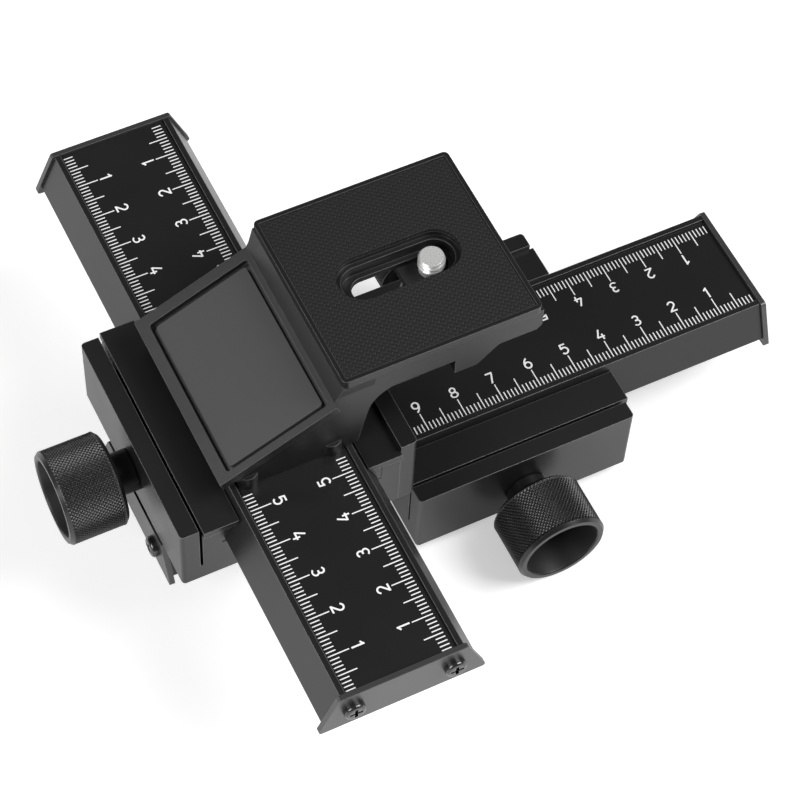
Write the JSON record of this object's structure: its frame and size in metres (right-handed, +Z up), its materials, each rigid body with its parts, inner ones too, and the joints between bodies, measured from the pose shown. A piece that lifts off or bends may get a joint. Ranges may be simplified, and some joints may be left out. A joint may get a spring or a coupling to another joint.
{
  "type": "macro focusing rail",
  "caption": "Two-axis macro focusing rail: crossed dovetail rails with scales, rack drive knobs, lock knobs and a slotted camera platform.",
  "frame": {"origin": "centre of the lower carriage's underside, between its two tripod threads", "axes": "+X along the lower rail, +Y along the upper rail towards the back, +Z up, out of the base"},
  "size_m": [0.1826, 0.1648, 0.0773],
  "materials": {
    "black_anodised": "satin",
    "black_knob": "satin",
    "black_scale": "gloss",
    "black_fastener": "satin",
    "steel": "satin",
    "bronze": "satin",
    "nylon": "matt",
    "rubber_pad": "matt"
  },
  "bodies": {
    "base": {"lower_carriage": "black_anodised", "lower_lock_wall": "black_anodised", "lower_wall_screws": "black_fastener", "lower_guide_knob_side": "nylon", "lower_guide_lock_side": "nylon", "lower_shaft_bushes": "bronze"},
    "lower_drive": {"lower_drive_shaft": "steel", "lower_pinion": "steel", "lower_drive_knob": "black_knob", "lower_knob_screw": "black_fastener"},
    "lower_lock": {"lower_lock_knob": "black_knob", "lower_lock_screw": "steel"},
    "lower_slide": {"lower_rail": "black_anodised", "lower_rack": "steel", "lower_scale": "black_scale", "lower_end_cap_left": "black_anodised", "lower_end_cap_right": "black_anodised", "lower_cap_screws": "black_fastener", "riser_plate": "black_anodised", "riser_screws": "black_fastener", "upper_carriage": "black_anodised", "upper_lock_wall": "black_anodised", "upper_wall_screws": "black_fastener", "upper_guide_knob_side": "nylon", "upper_guide_lock_side": "nylon", "upper_shaft_bushes": "bronze"},
    "upper_drive": {"upper_drive_shaft": "steel", "upper_pinion": "steel", "upper_drive_knob": "black_knob", "upper_knob_screw": "black_fastener"},
    "upper_lock": {"upper_lock_knob": "black_knob", "upper_lock_screw": "steel"},
    "upper_slide": {"upper_rail": "black_anodised", "upper_rack": "steel", "upper_scale": "black_scale", "upper_end_cap_back": "black_anodised", "upper_end_cap_front": "black_anodised", "upper_cap_screws": "black_fastener", "head_bracket": "black_anodised", "head_screws": "black_fastener", "panel_plate": "black_anodised", "platform_pad": "rubber_pad"},
    "screw_carrier": {"screw_slider": "black_anodised"},
    "screw_lift": {"thrust_washer": "nylon"},
    "camera_screw_turn": {"camera_screw": "steel", "thumb_disk": "black_anodised"}
  },
  "joints": [
    {"name": "lower_slide_travel", "type": "slide", "parent": "base", "child": "lower_slide", "axis": [1, 0, 0], "range_m": [-0.0418, 0.0569]},
    {"name": "lower_drive_turn", "type": "hinge", "parent": "base", "child": "lower_drive", "pos_m": [0, 0, 0.0078], "axis": [0, 1, 0], "range_deg": [-431, 586]},
    {"name": "lower_lock_turn", "type": "hinge", "parent": "base", "child": "lower_lock", "pos_m": [0, 0.03, 0.0153], "axis": [0, -1, 0], "range_deg": [-360, 135]},
    {"name": "upper_slide_travel", "type": "slide", "parent": "lower_slide", "child": "upper_slide", "axis": [0, 1, 0], "range_m": [-0.05, 0.0488]},
    {"name": "upper_drive_turn", "type": "hinge", "parent": "lower_slide", "child": "upper_drive", "pos_m": [-0.0586, 0, 0.0327], "axis": [-1, 0, 0], "range_deg": [-515, 503]},
    {"name": "upper_lock_turn", "type": "hinge", "parent": "lower_slide", "child": "upper_lock", "pos_m": [-0.026, 0, 0.0402], "axis": [-1, 0, 0], "range_deg": [-360, 135]},
    {"name": "camera_screw_shift", "type": "slide", "parent": "upper_slide", "child": "screw_carrier", "axis": [1, 0, 0], "range_m": [-0.0165, 0.0005]},
    {"name": "camera_screw_lift", "type": "slide", "parent": "screw_carrier", "child": "screw_lift", "axis": [0, 0, 1], "range_m": [0, 0.0062]},
    {"name": "camera_screw_spin", "type": "hinge", "parent": "screw_lift", "child": "camera_screw_turn", "pos_m": [-0.0131, 0.0006, 0.0612], "axis": [0, 0, 1], "continuous": true}
  ],
  "couplings": [
    {"joint": "lower_drive_turn", "follows": "lower_slide_travel", "rad_per_m": 178.57},
    {"joint": "upper_drive_turn", "follows": "upper_slide_travel", "rad_per_m": 178.57}
  ]
}
